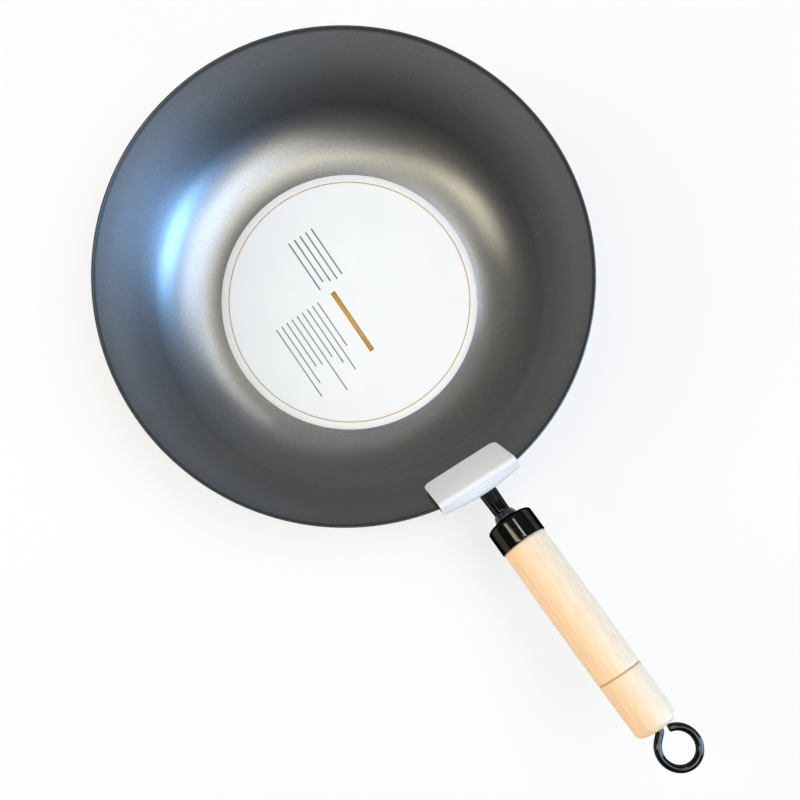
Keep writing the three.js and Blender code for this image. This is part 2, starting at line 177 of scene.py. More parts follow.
# A grid whose rows are copies of the section, each turned a step further about Z, with its seam merged.
turned_form, socket = shape_tree("turned_form", {"Segments": "NodeSocketInt"})
count = add_node(turned_form, "GeometryNodeAttributeDomainSize", {"Geometry": socket["Guide"]})
rows = worked_out(turned_form, "ADD", socket["Segments"], 1.0)
grid = add_node(
    turned_form, "GeometryNodeMeshGrid",
    {"Vertices X": count.outputs["Point Count"], "Vertices Y": rows, "Size X": 1.0, "Size Y": 1.0},
)
index = add_node(turned_form, "GeometryNodeInputIndex").outputs[0]
column = worked_out(turned_form, "FLOOR", worked_out(turned_form, "DIVIDE", index, rows))
row = worked_out(turned_form, "MODULO", index, rows)
step = worked_out(turned_form, "DIVIDE", math.tau, socket["Segments"])
turn = worked_out(turned_form, "MULTIPLY", row, step)
where = add_node(turned_form, "GeometryNodeInputPosition").outputs[0]
section = add_node(
    turned_form, "GeometryNodeSampleIndex",
    {"Geometry": socket["Guide"], "Value": where, "Index": column}, data_type="FLOAT_VECTOR",
)
swung = add_node(
    turned_form, "ShaderNodeVectorRotate",
    {"Vector": section.outputs[0], "Angle": turn}, rotation_type="Z_AXIS",
)
formed = add_node(
    turned_form, "GeometryNodeSetPosition",
    {"Geometry": grid.outputs["Mesh"], "Position": swung.outputs[0]},
)
closed = add_node(
    turned_form, "GeometryNodeMergeByDistance",
    {"Geometry": formed.outputs[0], "Distance": seam_width},
)
end_tree(turned_form, closed.outputs[0], socket["Finish"])


def turned_piece(name, section_points, segments, finish):
    guide = line_mesh(name + "_section", [(point.x, 0, point.y) for point in section_points])
    return grown(name, guide, turned_form, {"Segments": segments, "Finish": finish})


def new_finish(name):
    finish = bpy.data.materials.new(name)
    finish.use_nodes = True
    tree = finish.node_tree
    place = add_node(tree, "ShaderNodeTexCoord").outputs["Object"]
    return finish, tree, tree.nodes["Principled BSDF"], place


def speckle(tree, where, scale, detail):
    noise = add_node(tree, "ShaderNodeTexNoise", {"Vector": where, "Scale": scale, "Detail": detail})
    return noise.outputs["Fac"]


# Sockets 6 and 7 of a Mix node are its two colours, and its output 2 is their blend.
def blended(tree, factor, under, over, way="MIX"):
    made = add_node(
        tree, "ShaderNodeMix",
        {"Factor": factor, 6: under, 7: over}, data_type="RGBA", blend_type=way,
    )
    return made.outputs[2]


def coloured(tree, shader, colour, roughness):
    tree.links.new(colour, shader.inputs["Base Color"])
    tree.links.new(roughness, shader.inputs["Roughness"])


def ramp(tree, factor, stops):
    made = add_node(tree, "ShaderNodeValToRGB", {"Fac": factor})
    elements = made.color_ramp.elements
    while len(elements) < len(stops):
        elements.new(1.0)
    for element, (position, colour) in zip(elements, stops):
        element.position = position
        element.color = (*colour, 1.0)
    return made.outputs["Color"]


def rescaled(tree, value, low, high, from_low=0.0, from_high=1.0):
    made = add_node(
        tree, "ShaderNodeMapRange",
        {"Value": value, "From Min": from_low, "From Max": from_high, "To Min": low, "To Max": high},
    )
    return made.outputs[0]


def bumped(tree, shader, height, strength, distance, under=None):
    inputs = {"Height": height, "Strength": strength, "Distance": distance}
    if under is not None:
        inputs["Normal"] = under
    made = add_node(tree, "ShaderNodeBump", inputs)
    tree.links.new(made.outputs[0], shader.inputs["Normal"])
    return made.outputs[0]


nonstick, tree, shader, place = new_finish("nonstick_coating")
flake = speckle(tree, place, 1500.0, 2.0)
cloud = speckle(tree, place, 24.0, 3.0)
rings = add_node(
    tree, "ShaderNodeTexWave",
    {"Vector": place, "Scale": 160.0, "Distortion": 1.2, "Detail": 2.0, "Detail Scale": 3.0},
    wave_type="RINGS", rings_direction="Z",
)
coating = ramp(tree, flake, [
    (0.30, (0.270, 0.269, 0.265)),
    (0.55, (0.318, 0.317, 0.312)),
    (0.75, (0.387, 0.386, 0.380)),
])
level = add_node(tree, "ShaderNodeSeparateXYZ", {"Vector": place}).outputs["Z"]
up_the_wall = rescaled(tree, level, 0.0, 1.0, 0.0, bowl_height)
# Painted highlight and painted shade: the coating's grey is full near the card, about halved half-way up
# the wall, and cut to a quarter on the rim's edge.
painted_light_greys = (
    (0.18, 1.0), (0.30, 0.52), (0.45, 0.50), (0.75, 0.70), (0.95, 0.72), (0.985, 0.25), (1.0, 0.25),
)
painted_light_up_the_wall = ramp(tree, up_the_wall, [(share, (grey, grey, grey)) for share, grey in painted_light_greys])
coating_with_painted_light = blended(tree, 1.0, coating, painted_light_up_the_wall, "MULTIPLY")
satin = rescaled(tree, cloud, 0.32, 0.36)
drier = rescaled(tree, up_the_wall, 0.0, 0.12, 0.2, 0.6)
coloured(tree, shader, coating_with_painted_light, worked_out(tree, "ADD", satin, drier))
shader.inputs["Metallic"].default_value = 0.95
shader.inputs["Specular Tint"].default_value = (0.35, 0.35, 0.35, 1.0)
grain = bumped(tree, shader, flake, 0.10, 0.0002)
bumped(tree, shader, rings.outputs["Fac"], 0.03, 0.0002, grain)

corner_turn = corner_slope - math.pi / 2
rim_turn = rim_slope - math.pi / 2
bowl_section = [Vector((0, 0))]
outside, inside = corner_radius + half_wall, corner_radius - half_wall
bowl_section += arc_points(corner_centre, outside, -math.pi / 2, corner_turn, corner_steps)
bowl_section += arc_points(wall_centre, wall_radius + half_wall, corner_turn, rim_turn, wall_steps)[1:]
bowl_section += arc_points(rim_centre, half_wall, rim_turn, rim_turn + math.pi, edge_steps)[1:]
bowl_section += arc_points(wall_centre, wall_radius - half_wall, rim_turn, corner_turn, wall_steps)[1:]
bowl_section += arc_points(corner_centre, inside, corner_turn, -math.pi / 2, corner_steps)[1:]
bowl_section += [Vector((0, wall_thickness))]
bowl = turned_piece("bowl", divided(bowl_section, bowl_facet), bowl_segments, nonstick)
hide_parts("pan_body")
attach(bowl, "pan")

# Handle bracket: a shield-shaped saddle of pressed steel that lies on the outside of the wall, with a
# forged neck welded square into it. The two are enamelled together in gloss black.
saddle_gap = 0.0003
saddle_thickness = 0.002
saddle_top_drop = 0.0105
saddle_top_half = 0.023
saddle_foot_half = 0.013
saddle_tail = 0.0165
saddle_corner = 0.006
saddle_edge = 0.0006
saddle_edge_share = 0.028
saddle_edge_steps = 4
saddle_shares = (0.2, 0.4, 0.6, 0.8, 0.93)
saddle_last_share = 0.97
saddle_middle_rise = 0.004
neck_drop = 0.030
neck_rise = math.radians(13.5)
neck_length = 0.0333
neck_root_half_width = 0.010
neck_root_half_height = 0.007
neck_waist_half_width = 0.006
neck_waist_half_height = 0.0049
neck_end_radius = 0.0054
neck_flare_length = 0.017
neck_end_round = 0.0005
neck_end_steps = 4
neck_sides = 64
neck_steps = 40
neck_reach = 0.016
neck_halvings = 40
rod_bore = 0.0027
rod_engagement = 0.016


def on_wall(side, drop, out):
    point = wall_point(drop, out)
    return Vector((math.sqrt(point.x ** 2 - side ** 2), side, point.y))


neck_root = wall_point(neck_drop, half_wall)
handle_place = Matrix.Translation((neck_root.x, 0, neck_root.y))
handle_place = handle_place @ Matrix.Rotation(math.pi / 2 - neck_rise, 4, "Y")


def bezier_points(a, b, c, d, steps):
    points = []
    for step in range(1, steps + 1):
        t = step / steps
        s = 1 - t
        points.append(s ** 3 * a + 3 * s * s * t * b + 3 * s * t * t * c + t ** 3 * d)
    return points


# Rows of rings of equal count, with a fan at each end, as one closed skin.
def lofted_mesh(name, rings_of_points):
    count = len(rings_of_points[0])
    points = [point for ring in rings_of_points for point in ring]
    faces = []
    for r in range(len(rings_of_points) - 1):
        for i in range(count):
            j = (i + 1) % count
            faces.append((r * count + i, r * count + j, (r + 1) * count + j, (r + 1) * count + i))
    for ring, start in ((rings_of_points[0], 0), (rings_of_points[-1], len(points) - count)):
        middle = sum(ring, Vector()) / count
        points.append(middle)
        faces += [(start + i, start + (i + 1) % count, len(points) - 1) for i in range(count)]
    mesh = bpy.data.meshes.new(name)
    mesh.from_pydata([tuple(point) for point in points], [], faces)
    face_outwards(mesh)
    return mesh


# The angles of a quarter turn, in equal steps.
def quarter_turn(steps):
    return [math.pi / 2 * i / steps for i in range(steps + 1)]


# Half of the saddle's outline, as sides and drops: top, corner, drawn-in flank and round tail.
top_steps = 8
flank_steps = 14
tail_steps = 12
top, foot = saddle_top_half, saddle_foot_half
top_run = top - saddle_corner
flank_drop = saddle_top_drop + saddle_corner
tail_drop = neck_drop + saddle_tail
half_outline = [Vector((0, saddle_top_drop))]
half_outline += [Vector((top_run * i / top_steps, saddle_top_drop)) for i in range(1, top_steps + 1)]
half_outline += arc_points(Vector((top_run, flank_drop)), saddle_corner, -math.pi / 2, 0, top_steps)[1:]
half_outline += bezier_points(
    Vector((top, flank_drop)), Vector((top, neck_drop)),
    Vector((foot, neck_drop)), Vector((foot, tail_drop - foot)), flank_steps,
)
half_outline += arc_points(Vector((0, tail_drop - foot)), foot, 0, math.pi / 2, tail_steps)[1:]
other_half = [Vector((-point.x, point.y)) for point in half_outline[-2:0:-1]]
saddle_outline = half_outline + other_half
saddle_middle = Vector((0, neck_drop - saddle_middle_rise))
inner_face = half_wall + saddle_gap
outer_face = inner_face + saddle_thickness

# Each ring of the saddle has a share of the outline and a place across the sheet: out along the inner face,
# round the edge and back along the outer face.
saddle_stops = [(share, inner_face) for share in (*saddle_shares, saddle_last_share)]
edge_start = 1 - saddle_edge_share
for lift in quarter_turn(saddle_edge_steps):
    share_out = edge_start + saddle_edge_share * math.sin(lift)
    saddle_stops.append((share_out, inner_face + saddle_edge * (1 - math.cos(lift))))
for lift in quarter_turn(saddle_edge_steps):
    share_out = edge_start + saddle_edge_share * math.cos(lift)
    saddle_stops.append((share_out, outer_face - saddle_edge * (1 - math.sin(lift))))
saddle_stops += [(share, outer_face) for share in saddle_shares[::-1]]
saddle_rings = []
for share_out, out in saddle_stops:
    ring = [saddle_middle.lerp(point, share_out) for point in saddle_outline]
    saddle_rings.append([on_wall(point.x, point.y, out) for point in ring])
saddle_mesh = lofted_mesh("bracket_saddle", saddle_rings)


def neck_halves(station):
    flare = max(0.0, 1 - max(0.0, station) / neck_flare_length) ** 2
    run = max(0.0, (station - neck_flare_length) / (neck_length - neck_flare_length))
    width = neck_waist_half_width + (neck_end_radius - neck_waist_half_width) * run
    height = neck_waist_half_height + (neck_end_radius - neck_waist_half_height) * run
    width += (neck_root_half_width - neck_waist_half_width) * flare
    height += (neck_root_half_height - neck_waist_half_height) * flare
    return height, width


def neck_point(angle, station, shrink=0.0):
    height, width = neck_halves(station)
    local = Vector(((height - shrink) * math.cos(angle), (width - shrink) * math.sin(angle), station))
    return handle_place @ local


# The neck starts in the thickness of the saddle, so its first station differs all round.
def neck_start(angle):
    low, high = -neck_reach, neck_reach
    for _ in range(neck_halvings):
        middle = (low + high) / 2
        point = neck_point(angle, middle)
        out = (Vector((math.hypot(point.x, point.y), point.z)) - wall_centre).length - wall_radius
        if out < inner_face + saddle_thickness / 2:
            low = middle
        else:
            high = middle
    return high


neck_angles = [math.tau * i / neck_sides for i in range(neck_sides)]
neck_starts = [neck_start(angle) for angle in neck_angles]
neck_rings = []
for i in range(neck_steps + 1):
    run = i / neck_steps
    neck_rings.append([
        neck_point(angle, start + (neck_length - neck_end_round - start) * run)
        for angle, start in zip(neck_angles, neck_starts)
    ])
for lift in quarter_turn(neck_end_steps)[1:]:
    station = neck_length - neck_end_round * (1 - math.sin(lift))
    shrink = neck_end_round * (1 - math.cos(lift))
    neck_rings.append([neck_point(angle, station, shrink) for angle in neck_angles])
for station in (neck_length, neck_length - rod_engagement):
    neck_rings.append([
        handle_place @ Vector((rod_bore * math.cos(angle), rod_bore * math.sin(angle), station))
        for angle in neck_angles
    ])
neck_mesh = lofted_mesh("bracket_neck", neck_rings)

enamel, tree, shader, place = new_finish("gloss_black_enamel")
orange_peel = speckle(tree, place, 420.0, 1.0)
dust = speckle(tree, place, 90.0, 4.0)
black = ramp(tree, dust, [(0.35, (0.034, 0.034, 0.033)), (0.75, (0.044, 0.044, 0.043))])
coloured(tree, shader, black, rescaled(tree, dust, 0.08, 0.14))
shader.inputs["Metallic"].default_value = 1.0
shader.inputs["Specular Tint"].default_value = (0.10, 0.10, 0.11, 1.0)
bumped(tree, shader, orange_peel, 0.05, 0.0003)

joined = bmesh.new()
joined.from_mesh(saddle_mesh)
joined.from_mesh(neck_mesh)
bracket_mesh = bpy.data.meshes.new("bracket")
joined.to_mesh(bracket_mesh)
joined.free()
bracket_mesh.materials.append(enamel)
bracket = placed_object("bracket", bracket_mesh)
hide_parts("handle_bracket")
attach(bracket, "pan")

# Rivets: three soft steel rivets set through wall and saddle, with a low domed head inside the bowl and
# a tail hammered flat outside. They are bare, so they keep the grey of the steel.
rivet_spacing = 0.011
rivet_drop = 0.0152
rivet_radius = 0.0025
rivet_head_radius = 0.0044
rivet_head_height = 0.0011
rivet_tail_radius = 0.0038
rivet_tail_height = 0.0015
rivet_tail_flat = 0.0032
rivet_tail_edge = 0.0003
rivet_tail_round = 0.0004
rivet_tail_slope = 0.5
rivet_tail_steps = 5
rivet_head_steps = 12
rivet_segments = 32
rivet_facet = 0.0008

bare_steel, tree, shader, place = new_finish("bare_steel")
drawn = add_node(tree, "ShaderNodeMapping", {"Vector": place, "Scale": (400.0, 3000.0, 3000.0)})
lines = speckle(tree, drawn.outputs[0], 1.0, 3.0)
stain = speckle(tree, place, 260.0, 3.0)
steel = ramp(tree, stain, [(0.3, (0.34, 0.34, 0.35)), (0.7, (0.56, 0.56, 0.57))])
coloured(tree, shader, steel, rescaled(tree, lines, 0.24, 0.44))
shader.inputs["Metallic"].default_value = 1.0
bumped(tree, shader, lines, 0.08, 0.0001)

head_seat = -half_wall - saddle_gap
tail_seat = outer_face + saddle_gap
tail_end = tail_seat + rivet_tail_height
rivet_section = []
for lift in quarter_turn(rivet_head_steps):
    side = rivet_head_radius * math.sin(lift)
    rivet_section.append(Vector((side, head_seat - rivet_head_height * math.cos(lift))))
rivet_section += [
    Vector((rivet_radius, head_seat)),
    Vector((rivet_radius, tail_seat)),
    Vector((rivet_tail_radius - rivet_tail_edge, tail_seat)),
    Vector((rivet_tail_radius, tail_seat + rivet_tail_edge)),
]
tail_round = Vector((rivet_tail_flat - rivet_tail_round, tail_end - rivet_tail_round))
rivet_section += arc_points(
    tail_round, rivet_tail_round, rivet_tail_slope, math.pi / 2, rivet_tail_steps,
)
rivet_section += [Vector((0, tail_end))]
rivet_section = divided(rivet_section, rivet_facet)
rivet_pattern = turned_piece("rivet_pattern", rivet_section, rivet_segments, bare_steel)

rivet_row, socket = shape_tree("rivet_row", {"Rivet": "NodeSocketObject"})
pattern = add_node(rivet_row, "GeometryNodeObjectInfo", {"Object": socket["Rivet"]})
outwards = add_node(
    rivet_row, "GeometryNodeInputNamedAttribute", {"Name": "square_out"}, data_type="FLOAT_VECTOR",
)
facing = add_node(rivet_row, "FunctionNodeAlignRotationToVector", {"Vector": outwards.outputs[0]}, axis="Z")
each = add_node(
    rivet_row, "GeometryNodeInstanceOnPoints",
    {"Points": socket["Guide"], "Instance": pattern.outputs["Geometry"], "Rotation": facing.outputs[0]},
)
end_tree(rivet_row, each.outputs[0], socket["Finish"])

rivet_out = slope_out(rim_slope - rivet_drop / wall_radius)
rivet_places = []
rivet_directions = []
for i in (-1, 0, 1):
    point = on_wall(i * rivet_spacing, rivet_drop, 0)
    around = math.atan2(point.y, point.x)
    square = Vector((rivet_out.x * math.cos(around), rivet_out.x * math.sin(around), rivet_out.y))
    rivet_places.append(point)
    rivet_directions.append(square)
rivet_guide = line_mesh("rivet_places", rivet_places)
square_out = rivet_guide.attributes.new("square_out", "FLOAT_VECTOR", "POINT")
for i, direction in enumerate(rivet_directions):
    square_out.data[i].vector = direction
rivets = grown("rivets", rivet_guide, rivet_row, {"Rivet": rivet_pattern, "Finish": bare_steel})
bpy.data.objects.remove(rivet_pattern)
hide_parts("rivet_1", "rivet_2", "rivet_3")
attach(rivets, "pan")

# Neck collar: a small turned steel washer that is cone-shaped in front. It spreads the pull of the rod
# from the end of the neck to the face of the ferrule, and it keeps the dark scale of its heat treatment.
seat_gap = 0.0003
collar_start = neck_length + seat_gap
collar_length = 0.0045
collar_band = 0.0014
collar_neck_radius = 0.0063
collar_seat_radius = 0.0076
collar_edge = 0.0003
collar_segments = 64
collar_facet = 0.0006

collar_section = [
    Vector((rod_bore, 0)),
    Vector((collar_neck_radius - collar_edge, 0)),
    Vector((collar_neck_radius, collar_edge)),
    Vector((collar_seat_radius - collar_edge / 3, collar_length - collar_band - collar_edge / 2)),
    Vector((collar_seat_radius, collar_length - collar_band + collar_edge / 2)),
    Vector((collar_seat_radius, collar_length - collar_edge)),
    Vector((collar_seat_radius - collar_edge, collar_length)),
    Vector((rod_bore, collar_length)),
    Vector((rod_bore, 0)),
]
scaled_steel, tree, shader, place = new_finish("scaled_steel")
scale = speckle(tree, place, 380.0, 4.0)
grey = ramp(tree, scale, [(0.3, (0.060, 0.060, 0.062)), (0.7, (0.150, 0.148, 0.145))])
coloured(tree, shader, grey, rescaled(tree, scale, 0.28, 0.46))
shader.inputs["Metallic"].default_value = 1.0
bumped(tree, shader, scale, 0.10, 0.0001)
collar = turned_piece("collar", divided(collar_section, collar_facet), collar_segments, scaled_steel)
collar.data.transform(handle_place @ Matrix.Translation((0, 0, collar_start)))
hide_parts("neck_collar")
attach(collar, "pan")

# Ferrule: a cup pressed from thin steel sheet, with a domed front that the rod passes through and a plain
# mouth that the grip is pushed into. It is enamelled in the same gloss black as the bracket.
ferrule_start = collar_start + collar_length + seat_gap
ferrule_length = 0.0183
ferrule_radius = 0.0156
ferrule_wall = 0.001
ferrule_flat_radius = 0.0084
ferrule_shoulder = 0.0033
ferrule_lip = 0.0004
ferrule_lip_steps = 5
ferrule_dome_steps = 20
ferrule_segments = 112
ferrule_facet = 0.0012


def dome_points(inset, steps):
    points = []
    for angle in quarter_turn(steps):
        radius = ferrule_flat_radius + (ferrule_radius - ferrule_flat_radius) * math.sin(angle)
        points.append(Vector((radius - inset, ferrule_shoulder * (1 - math.cos(angle)) + inset)))
    return points


ferrule_mouth = Vector((ferrule_radius - ferrule_lip, ferrule_length - ferrule_lip))
ferrule_section = [Vector((rod_bore, 0))]
ferrule_section += dome_points(0, ferrule_dome_steps)
ferrule_section += arc_points(ferrule_mouth, ferrule_lip, 0, math.pi / 2, ferrule_lip_steps)
ferrule_section += [Vector((ferrule_radius - ferrule_wall, ferrule_length))]
ferrule_section += dome_points(ferrule_wall, ferrule_dome_steps)[::-1]
ferrule_section += [Vector((rod_bore, ferrule_wall)), Vector((rod_bore, 0))]
ferrule = turned_piece("ferrule_cup", divided(ferrule_section, ferrule_facet), ferrule_segments, enamel)
ferrule.data.transform(handle_place @ Matrix.Translation((0, 0, ferrule_start)))
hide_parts("ferrule")
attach(ferrule, "pan")

# Ferrule pin: a short wire nail driven through the top of the ferrule into the wood, so that the cup
# cannot turn on the grip. It is blackened, and its end is left slightly domed by the hammer.
pin_radius = 0.0012
pin_length = 0.0067
pin_inset = 0.0026
pin_dome = 0.0003
pin_dome_steps = 6
pin_point = 0.0002
pin_proud = 0.00015
pin_segments = 24
pin_facet = 0.0008

pin_section = [Vector((0, 0)), Vector((pin_radius - pin_point, 0)), Vector((pin_radius, pin_point))]
for lift in quarter_turn(pin_dome_steps):
    station = pin_length - pin_dome + pin_dome * math.sin(lift)
    pin_section.append(Vector((pin_radius * math.cos(lift), station)))
blackened, tree, shader, place = new_finish("blackened_nail")
scale = speckle(tree, place, 900.0, 3.0)
dark = ramp(tree, scale, [(0.3, (0.012, 0.012, 0.013)), (0.7, (0.035, 0.034, 0.033))])
coloured(tree, shader, dark, rescaled(tree, scale, 0.28, 0.42))
shader.inputs["Metallic"].default_value = 0.8
pin = turned_piece("ferrule_nail", divided(pin_section, pin_facet), pin_segments, blackened)
pin_top = ferrule_radius + pin_proud
pin_station = ferrule_start + ferrule_length - pin_inset
pin_place = Matrix.Translation((pin_length - pin_top, 0, pin_station))
pin_place = pin_place @ Matrix.Rotation(-math.pi / 2, 4, "Y")
pin.data.transform(handle_place @ pin_place)
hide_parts("ferrule_pin")
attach(pin, "pan")

# Grip: a pale close-grained hardwood turned to a slight swell, with a round butt and one line burnt in
# with a wire while it spun. It is bored through for the rod, sanded along its length and varnished.
grip_start = ferrule_start + ferrule_length + seat_gap
grip_length = 0.1331
grip_front_radius = 0.0148
grip_butt_radius = 0.0139
grip_swell = 0.0005
grip_butt_round = 0.004
grip_front_round = 0.001
groove_from_butt = 0.0372
groove_depth = 0.0007
groove_width = 0.0014
groove_edge = 0.0003
groove_sharpness = 1.4
bore_edge = 0.0004
grip_segments = 128
grip_facet = 0.004
butt_station = grip_start + grip_length
groove_station = butt_station - groove_from_butt


def grip_radius(station):
    share = (station - grip_start) / grip_length
    straight = grip_front_radius + (grip_butt_radius - grip_front_radius) * share
    return straight + grip_swell * math.sin(math.pi * share)


# Its section, from the bore over the tenon in the ferrule, the swell and the groove to the butt.
tenon = ferrule_wall + seat_gap
tenon_steps = 12
front_steps = 6
swell_steps = 29
groove_steps = 12
butt_steps = 14
grip_section = [Vector((rod_bore, ferrule_start + tenon))]
grip_section += [Vector((point.x, point.y + ferrule_start)) for point in dome_points(tenon, tenon_steps)]
grip_section += [Vector((ferrule_radius - tenon, grip_start))]
front_round = Vector((grip_radius(grip_start) - grip_front_round, grip_start + grip_front_round))
grip_section += arc_points(front_round, grip_front_round, -math.pi / 2, 0, front_steps)
groove_front = groove_station - groove_width / 2
swell_length = groove_front - groove_edge - front_round.y
for i in range(1, swell_steps + 1):
    station = front_round.y + swell_length * i / swell_steps
    grip_section.append(Vector((grip_radius(station), station)))
for i in range(1, groove_steps):
    share_across = i / groove_steps
    station = groove_front + groove_width * share_across
    cut = groove_depth * math.sin(math.pi * share_across) ** groove_sharpness
    grip_section.append(Vector((grip_radius(station) - cut, station)))
round_start = butt_station - grip_butt_round
groove_back = groove_station + groove_width / 2 + groove_edge
for i in range(groove_steps):
    station = groove_back + (round_start - groove_back) * i / groove_steps
    grip_section.append(Vector((grip_radius(station), station)))
butt_round = Vector((grip_radius(round_start) - grip_butt_round, round_start))
grip_section += arc_points(butt_round, grip_butt_round, 0, math.pi / 2, butt_steps)
grip_section += [
    Vector((rod_bore + bore_edge, butt_station)),
    Vector((rod_bore, butt_station - bore_edge)),
    Vector((rod_bore, ferrule_start + tenon)),
]

# The first colour is a painted highlight for the grip's lit side; the others are the wood's streaks, pores
# and burnt line.
painted_light_pale = (0.940, 0.840, 0.675, 1.0)
streak_brown = (0.83, 0.50, 0.26, 1.0)
pore_brown = (0.66, 0.43, 0.24, 1.0)
burnt_brown = (0.66, 0.31, 0.09, 1.0)

wood, tree, shader, place = new_finish("pale_hardwood")
handle_turn = (0.0, math.pi / 2 - neck_rise, 0.0)
along = add_node(
    tree, "ShaderNodeMapping",
    {"Vector": place, "Location": handle_place.translation, "Rotation": handle_turn},
    vector_type="TEXTURE",
).outputs[0]
stretched = add_node(tree, "ShaderNodeMapping", {"Vector": along, "Scale": (1.0, 1.0, 0.07)})
growth = add_node(
    tree, "ShaderNodeTexWave",
    {"Vector": stretched.outputs[0], "Scale": 95.0, "Distortion": 5.0, "Detail": 3.0, "Detail Scale": 1.6},
    wave_type="BANDS", bands_direction="X",
)
fibre = add_node(tree, "ShaderNodeMapping", {"Vector": along, "Scale": (800.0, 800.0, 95.0)})
streaks = speckle(tree, fibre.outputs[0], 1.0, 4.0)
flecks = add_node(tree, "ShaderNodeMapping", {"Vector": along, "Scale": (1300.0, 1300.0, 240.0)})
pores = add_node(tree, "ShaderNodeTexVoronoi", {"Vector": flecks.outputs[0], "Scale": 1.0})
banded_wood = ramp(tree, growth.outputs["Fac"], [
    (0.0, (0.940, 0.630, 0.365)),
    (0.6, (0.960, 0.680, 0.425)),
    (1.0, (0.910, 0.580, 0.315)),
])
parts = add_node(tree, "ShaderNodeSeparateXYZ", {"Vector": along})
# Painted light: towards the grip's +Y side, where the window light falls, the wood is blended to a paler
# colour as a painted highlight.
towards_lit_side = rescaled(tree, parts.outputs["Y"], 0.0, 1.0, -0.010, 0.011)
pale = blended(tree, towards_lit_side, banded_wood, painted_light_pale)
streak_share = rescaled(tree, streaks, 0.0, 0.5, 0.45, 0.75)
streaked = blended(tree, streak_share, pale, streak_brown)
pore_share = rescaled(tree, pores.outputs["Distance"], 0.35, 0.0, 0.05, 0.22)
pored = blended(tree, pore_share, streaked, pore_brown)
offset = worked_out(tree, "SUBTRACT", parts.outputs["Z"], groove_station)
from_line = worked_out(tree, "ABSOLUTE", offset)
scorch = rescaled(tree, from_line, 0.85, 0.0, groove_width * 0.20, groove_width * 0.60)
burnt = blended(tree, scorch, pored, burnt_brown)
coloured(tree, shader, burnt, rescaled(tree, streaks, 0.36, 0.52))
shader.inputs["Coat Weight"].default_value = 0.15
shader.inputs["Coat Roughness"].default_value = 0.25
bumped(tree, shader, streaks, 0.10, 0.0002)

grip = turned_piece("wooden_grip", divided(grip_section, grip_facet), grip_segments, wood)
grip.data.transform(handle_place)
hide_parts("grip")
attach(grip, "pan")

# Hanging rod: one length of round steel wire, threaded into the neck at its hidden end. It runs through
# the grip and draws it up, and its outer end is bent cold into the hanging eye. Dipped in black enamel.
rod_radius = 0.0024
rod_start = neck_length - rod_engagement + seat_gap
eye_radius = 0.0119
eye_lean = math.radians(48)
eye_bend = 0.0032
eye_leg = 0.0055
eye_lead = 0.0003
eye_end_gap = 0.0022
rod_chamfer = 0.0005
chamfer_share = 0.82
rod_sides = 28
rod_steps = 40
bend_steps = 12
eye_steps = 84

# Its middle line in the plane of the eye: through the grip, a sharp bend, a short straight leg, the eye.
rod_leaves = butt_station + eye_lead
bend_end = Vector((-eye_bend * (1 - math.cos(eye_lean)), rod_leaves + eye_bend * math.sin(eye_lean)))
leg_end = bend_end + eye_leg * Vector((-math.sin(eye_lean), math.cos(eye_lean)))
eye_centre = leg_end + eye_radius * Vector((math.cos(eye_lean), math.sin(eye_lean)))
end_side = rod_radius + eye_end_gap
end_turn = math.pi - math.asin((end_side - eye_centre.x) / eye_radius)
start_turn = -math.pi / 2 - eye_lean
rod_path = [(0.0, rod_start + (rod_leaves - rod_start) * i / rod_steps) for i in range(rod_steps + 1)]
for i in range(1, bend_steps + 1):
    lean = eye_lean * i / bend_steps
    rod_path.append((-eye_bend * (1 - math.cos(lean)), rod_leaves + eye_bend * math.sin(lean)))
for i in range(eye_steps + 1):
    angle = start_turn + (end_turn - start_turn) * i / eye_steps
    side = eye_centre.x + eye_radius * math.sin(angle)
    rod_path.append((side, eye_centre.y + eye_radius * math.cos(angle)))
last, before = Vector(rod_path[-1]), Vector(rod_path[-2])
rod_path[-1] = tuple(last + (before - last).normalized() * rod_chamfer)
rod_path.append(tuple(last))
first = Vector(rod_path[0])
rod_path.insert(1, (first.x, first.y + rod_chamfer))

wire, socket = shape_tree("bent_wire", {"Wire Radius": "NodeSocketFloat", "Sides": "NodeSocketInt"})
centre_line = add_node(wire, "GeometryNodeMeshToCurve", {"Mesh": socket["Guide"]})
round_bar = add_node(
    wire, "GeometryNodeCurvePrimitiveCircle",
    {"Resolution": socket["Sides"], "Radius": socket["Wire Radius"]},
)
thickness = add_node(wire, "GeometryNodeInputNamedAttribute", {"Name": "thickness"}, data_type="FLOAT")
swept = add_node(
    wire, "GeometryNodeCurveToMesh",
    {"Curve": centre_line.outputs[0], "Profile Curve": round_bar.outputs[0],
     "Scale": thickness.outputs[0], "Fill Caps": True},
)
end_tree(wire, swept.outputs[0], socket["Finish"])

rod_guide = line_mesh("rod_path", [(0.0, side, along_axis) for side, along_axis in rod_path])
thickness_of = rod_guide.attributes.new("thickness", "FLOAT", "POINT")
for i in range(len(rod_path)):
    thickness_of.data[i].value = chamfer_share if i in (0, len(rod_path) - 1) else 1.0
rod_values = {"Wire Radius": rod_radius, "Sides": rod_sides, "Finish": enamel}
rod = grown("bent_rod", rod_guide, wire, rod_values)
rod.data.transform(handle_place)
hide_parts("hanging_rod")
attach(rod, "eye_rod")

# Rim guard: a moulded clip of white plastic that is pushed over the rim at the handle. Its flat plate
# covers the rivet heads inside the bowl, its crown is drawn to the rim's curve, and a skirt hangs outside.
guard_half = 0.0272
guard_foot_half = 0.027
guard_drop = 0.0344
guard_corner = 0.005
guard_wall = 0.0014
guard_pocket = 0.0026
guard_fold = 0.0013
guard_turn = math.radians(-1.9)
skirt_drop = 0.009
skirt_thickness = 0.0028
guard_edge = 0.00055
guard_edge_segments = 4
guard_sharpest = math.radians(50)
guard_columns = 48

